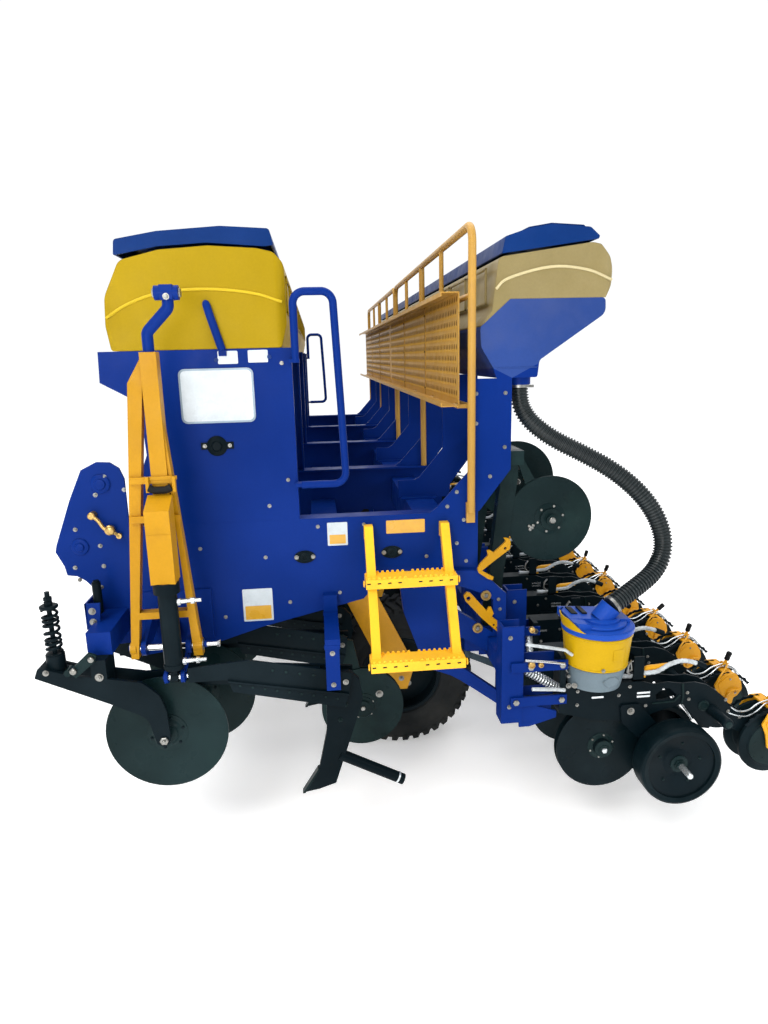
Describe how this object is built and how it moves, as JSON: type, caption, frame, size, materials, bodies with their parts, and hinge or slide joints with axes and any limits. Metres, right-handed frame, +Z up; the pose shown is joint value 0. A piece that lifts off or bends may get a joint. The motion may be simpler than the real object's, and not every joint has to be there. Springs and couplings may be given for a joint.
{
  "type": "row crop planter",
  "caption": "Pull-type row crop planter: raised hoppers on a wide blue frame, disc coulters and shanks in front, a rank of row units behind.",
  "frame": {"origin": "bottom centre of the whole machine, on the floor", "axes": "+X towards the rear of the machine, +Y across it towards its right side, +Z up"},
  "size_m": [3.829, 5.94, 2.507],
  "materials": {
    "black_paint": "satin black",
    "blue_paint": "glossy enamel",
    "blue_plastic": "moulded, satin",
    "chromed_rod": "polished",
    "cream_plastic": "rotomoulded, satin",
    "deck_paint": "satin enamel",
    "disc_steel": "dark painted disc steel",
    "grey_plastic": "moulded",
    "hose_plastic": "corrugated",
    "tyre_rubber": "treaded rubber",
    "wheel_rubber": "smooth rubber",
    "yellow_paint": "glossy enamel",
    "yellow_plastic": "rotomoulded, satin"
  },
  "bodies": {
    "root": {"beam_links": "blue_paint", "blue_handrails": "blue_paint", "closing_brackets": "yellow_paint", "coulter_springs": "black_paint", "cross_beams": "blue_paint", "depth_latches": "yellow_paint", "drawbar": "blue_paint", "fertilizer_discs": "disc_steel", "fertilizer_hoppers": "yellow_plastic", "frame_plates": "blue_paint", "hopper_stands": "blue_paint", "ladders": "yellow_paint", "marker_brackets": "blue_paint", "opener_discs": "disc_steel", "parallel_arms": "black_paint", "raised_openers": "disc_steel", "rear_toolbar": "blue_paint", "rear_towers": "blue_paint", "row_beams": "black_paint", "row_frames": "black_paint", "seed_hoppers": "cream_plastic", "seed_hose": "hose_plastic", "seed_meter": "grey_plastic", "shanks": "black_paint", "small_hopper": "yellow_plastic", "small_hopper_cap": "blue_paint", "toolbar_arms": "blue_paint", "transmission_plates": "blue_paint", "walkway_rail": "deck_paint", "wheel_arms": "yellow_paint"},
    "transport_wheel_1": {"transport_tyre_1": "tyre_rubber", "transport_rim_1": "black_paint"},
    "transport_wheel_2": {"transport_tyre_2": "tyre_rubber", "transport_rim_2": "black_paint"},
    "transport_wheel_3": {"transport_tyre_3": "tyre_rubber", "transport_rim_3": "black_paint"},
    "transport_wheel_4": {"transport_tyre_4": "tyre_rubber", "transport_rim_4": "black_paint"},
    "coulters_front": {"coulters_front": "disc_steel"},
    "coulters_rear": {"coulters_rear": "disc_steel"},
    "gauge_wheels": {"gauge_tyres": "wheel_rubber", "gauge_hubs": "black_paint"},
    "closing_wheels": {"closing_wheels": "wheel_rubber"},
    "marker_arm_left": {"marker_arm_left": "yellow_paint"},
    "marker_barrel_left": {"marker_barrel_left": "black_paint"},
    "marker_rod_left": {"marker_rod_left": "chromed_rod"},
    "marker_arm_right": {"marker_arm_right": "yellow_paint"},
    "marker_barrel_right": {"marker_barrel_right": "black_paint"},
    "marker_rod_right": {"marker_rod_right": "chromed_rod"},
    "walkway_deck_left": {"walkway_deck_left": "deck_paint"},
    "walkway_deck_right": {"walkway_deck_right": "deck_paint"},
    "fertilizer_lid_1": {"fertilizer_lid_1": "blue_plastic"},
    "seed_lid_1": {"seed_lid_1": "blue_plastic"},
    "fertilizer_lid_2": {"fertilizer_lid_2": "blue_plastic"},
    "seed_lid_2": {"seed_lid_2": "blue_plastic"},
    "fertilizer_lid_3": {"fertilizer_lid_3": "blue_plastic"},
    "seed_lid_3": {"seed_lid_3": "blue_plastic"},
    "fertilizer_lid_4": {"fertilizer_lid_4": "blue_plastic"},
    "seed_lid_4": {"seed_lid_4": "blue_plastic"},
    "jack_leg": {"jack_leg": "blue_paint"}
  },
  "joints": [
    {"name": "transport_wheel_1_spin", "type": "hinge", "parent": "root", "child": "transport_wheel_1", "pos_m": [0.3075, -1.925, 0.38], "axis": [0, 1, 0], "continuous": true},
    {"name": "transport_wheel_2_spin", "type": "hinge", "parent": "root", "child": "transport_wheel_2", "pos_m": [0.3075, -0.525, 0.38], "axis": [0, 1, 0], "continuous": true},
    {"name": "transport_wheel_3_spin", "type": "hinge", "parent": "root", "child": "transport_wheel_3", "pos_m": [0.3075, 0.525, 0.38], "axis": [0, 1, 0], "continuous": true},
    {"name": "transport_wheel_4_spin", "type": "hinge", "parent": "root", "child": "transport_wheel_4", "pos_m": [0.3075, 1.925, 0.38], "axis": [0, 1, 0], "continuous": true},
    {"name": "coulters_front_spin", "type": "hinge", "parent": "root", "child": "coulters_front", "pos_m": [-0.7035, 0, 0.59], "axis": [0, 1, 0], "continuous": true},
    {"name": "coulters_rear_spin", "type": "hinge", "parent": "root", "child": "coulters_rear", "pos_m": [-0.6285, 0, 0.576], "axis": [0, 1, 0], "continuous": true},
    {"name": "gauge_wheels_spin", "type": "hinge", "parent": "root", "child": "gauge_wheels", "pos_m": [1.3455, 0, 0.35], "axis": [0, 1, 0], "continuous": true},
    {"name": "closing_wheels_spin", "type": "hinge", "parent": "root", "child": "closing_wheels", "pos_m": [1.7795, 0, 0.371], "axis": [0, 1, 0], "continuous": true},
    {"name": "marker_left_swing", "type": "hinge", "parent": "root", "child": "marker_arm_left", "pos_m": [-0.6455, -2.75, 0.928], "axis": [1, 0, 0], "range_deg": [0, 90]},
    {"name": "marker_barrel_left_tilt", "type": "hinge", "parent": "root", "child": "marker_barrel_left", "pos_m": [-0.6455, -2.836, 0.84], "axis": [1, 0, 0], "range_deg": [0, 90]},
    {"name": "marker_rod_left_slide", "type": "slide", "parent": "marker_barrel_left", "child": "marker_rod_left", "axis": [0, 0, -1], "range_m": [0, 0.175]},
    {"name": "marker_right_swing", "type": "hinge", "parent": "root", "child": "marker_arm_right", "pos_m": [-0.6455, 2.75, 0.928], "axis": [-1, 0, 0], "range_deg": [0, 90]},
    {"name": "marker_barrel_right_tilt", "type": "hinge", "parent": "root", "child": "marker_barrel_right", "pos_m": [-0.6455, 2.836, 0.84], "axis": [-1, 0, 0], "range_deg": [0, 90]},
    {"name": "marker_rod_right_slide", "type": "slide", "parent": "marker_barrel_right", "child": "marker_rod_right", "axis": [0, 0, -1], "range_m": [0, 0.175]},
    {"name": "walkway_deck_left_fold", "type": "hinge", "parent": "root", "child": "walkway_deck_left", "pos_m": [0.5125, -1.273, 1.799], "axis": [0, -1, 0], "range_deg": [0, 90]},
    {"name": "walkway_deck_right_fold", "type": "hinge", "parent": "root", "child": "walkway_deck_right", "pos_m": [0.5125, 1.273, 1.799], "axis": [0, -1, 0], "range_deg": [0, 90]},
    {"name": "fertilizer_lid_1_hinge", "type": "hinge", "parent": "root", "child": "fertilizer_lid_1", "pos_m": [-0.7865, -1.9125, 2.396], "axis": [0, -1, 0], "range_deg": [0, 95]},
    {"name": "seed_lid_1_hinge", "type": "hinge", "parent": "root", "child": "seed_lid_1", "pos_m": [1.0635, -1.9125, 2.438], "axis": [0, 1, 0], "range_deg": [0, 95]},
    {"name": "fertilizer_lid_2_hinge", "type": "hinge", "parent": "root", "child": "fertilizer_lid_2", "pos_m": [-0.7865, -0.6375, 2.396], "axis": [0, -1, 0], "range_deg": [0, 95]},
    {"name": "seed_lid_2_hinge", "type": "hinge", "parent": "root", "child": "seed_lid_2", "pos_m": [1.0635, -0.6375, 2.438], "axis": [0, 1, 0], "range_deg": [0, 95]},
    {"name": "fertilizer_lid_3_hinge", "type": "hinge", "parent": "root", "child": "fertilizer_lid_3", "pos_m": [-0.7865, 0.6375, 2.396], "axis": [0, -1, 0], "range_deg": [0, 95]},
    {"name": "seed_lid_3_hinge", "type": "hinge", "parent": "root", "child": "seed_lid_3", "pos_m": [1.0635, 0.6375, 2.438], "axis": [0, 1, 0], "range_deg": [0, 95]},
    {"name": "fertilizer_lid_4_hinge", "type": "hinge", "parent": "root", "child": "fertilizer_lid_4", "pos_m": [-0.7865, 1.9125, 2.396], "axis": [0, -1, 0], "range_deg": [0, 95]},
    {"name": "seed_lid_4_hinge", "type": "hinge", "parent": "root", "child": "seed_lid_4", "pos_m": [1.0635, 1.9125, 2.438], "axis": [0, 1, 0], "range_deg": [0, 95]},
    {"name": "jack_slide", "type": "slide", "parent": "root", "child": "jack_leg", "axis": [0, 0, 1], "range_m": [-0.2, 0]}
  ],
  "couplings": [
    {"joint": "marker_barrel_left_tilt", "follows": "marker_left_swing", "ratio": 0.997},
    {"joint": "marker_rod_left_slide", "follows": "marker_left_swing", "m_per_rad": 0.1108},
    {"joint": "marker_barrel_right_tilt", "follows": "marker_right_swing", "ratio": 0.997},
    {"joint": "marker_rod_right_slide", "follows": "marker_right_swing", "m_per_rad": 0.1108}
  ]
}
